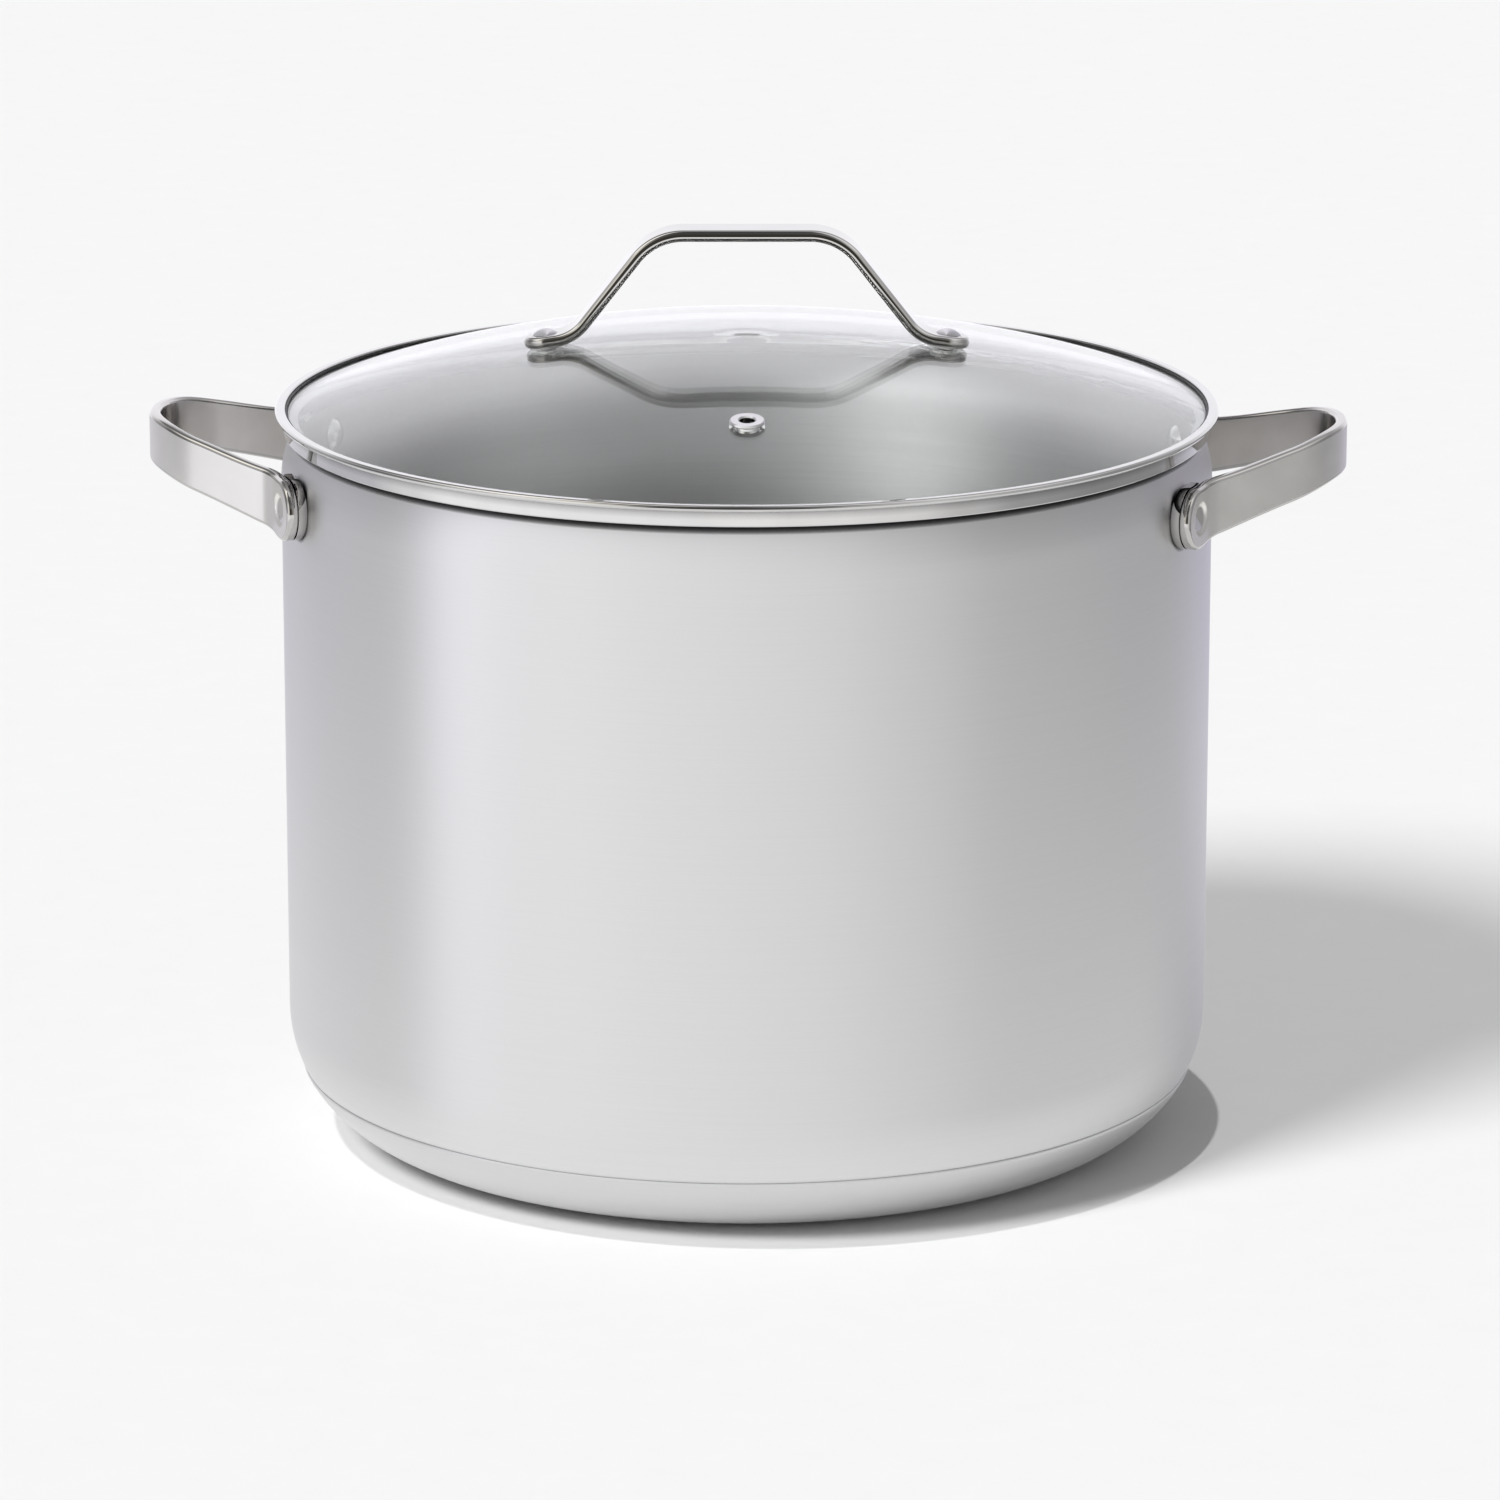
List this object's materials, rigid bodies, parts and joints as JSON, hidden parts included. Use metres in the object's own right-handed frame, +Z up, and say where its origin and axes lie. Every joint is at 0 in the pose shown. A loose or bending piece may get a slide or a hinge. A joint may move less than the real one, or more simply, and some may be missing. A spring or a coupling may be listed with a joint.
{
  "type": "water bath canner",
  "caption": "Tall steel canning pot with riveted loop side handles, a layered base, a domed glass lid with steel rim and arched handle, and a lift-out wire jar rack inside.",
  "frame": {"origin": "centre of the flat underside of the base, on the surface the pot stands on", "axes": "+Z up through the lid, +X through the middle of the right side handle, -Y towards the viewer, on the steam vent's side"},
  "size_m": [0.3808, 0.2996, 0.293],
  "materials": {
    "brushed_steel": "fine horizontal brushing",
    "polished_steel": "polished",
    "aluminium_core": "satin",
    "clear_glass": "polished",
    "dark_silicone": "satin",
    "clear_silicone": "satin, translucent",
    "rack_wire": "plated wire"
  },
  "bodies": {
    "pot": {"pot_shell": "brushed_steel", "base_core": "aluminium_core", "base_cap": "brushed_steel", "side_handle_right": "polished_steel", "side_handle_left": "polished_steel", "handle_plate_right_front": "polished_steel", "handle_plate_right_back": "polished_steel", "handle_plate_left_front": "polished_steel", "handle_plate_left_back": "polished_steel", "handle_rivet_right_front": "polished_steel", "handle_rivet_right_back": "polished_steel", "handle_rivet_left_front": "polished_steel", "handle_rivet_left_back": "polished_steel"},
    "lid": {"lid_glass": "clear_glass", "lid_rim": "polished_steel", "lid_seal": "dark_silicone", "vent_eyelet": "polished_steel", "vent_washer": "polished_steel", "lid_handle": "polished_steel", "lid_rivet_right": "polished_steel", "foot_gasket_right": "clear_silicone", "under_gasket_right": "clear_silicone", "rivet_washer_right": "polished_steel", "lid_rivet_left": "polished_steel", "foot_gasket_left": "clear_silicone", "under_gasket_left": "clear_silicone", "rivet_washer_left": "polished_steel"},
    "rack": {"rack_outer_ring": "rack_wire", "rack_middle_ring": "rack_wire", "rack_inner_ring": "rack_wire", "rack_spokes": "rack_wire", "rack_feet": "rack_wire", "rack_eyes_right": "rack_wire", "rack_eyes_left": "rack_wire"},
    "rack_handle_right": {"rack_handle_right": "rack_wire"},
    "rack_handle_left": {"rack_handle_left": "rack_wire"}
  },
  "joints": [
    {"name": "lid_lift", "type": "slide", "parent": "pot", "child": "lid", "axis": [0, 0, 1], "range_m": [0, 0.3]},
    {"name": "rack_lift", "type": "slide", "parent": "pot", "child": "rack", "axis": [0, 0, 1], "range_m": [0, 0.115]},
    {"name": "rack_handle_right_hinge", "type": "hinge", "parent": "rack", "child": "rack_handle_right", "pos_m": [0.11, 0, 0.02244], "axis": [0, 1, 0], "range_deg": [0, 90]},
    {"name": "rack_handle_left_hinge", "type": "hinge", "parent": "rack", "child": "rack_handle_left", "pos_m": [-0.11, 0, 0.02244], "axis": [0, -1, 0], "range_deg": [0, 90]}
  ]
}
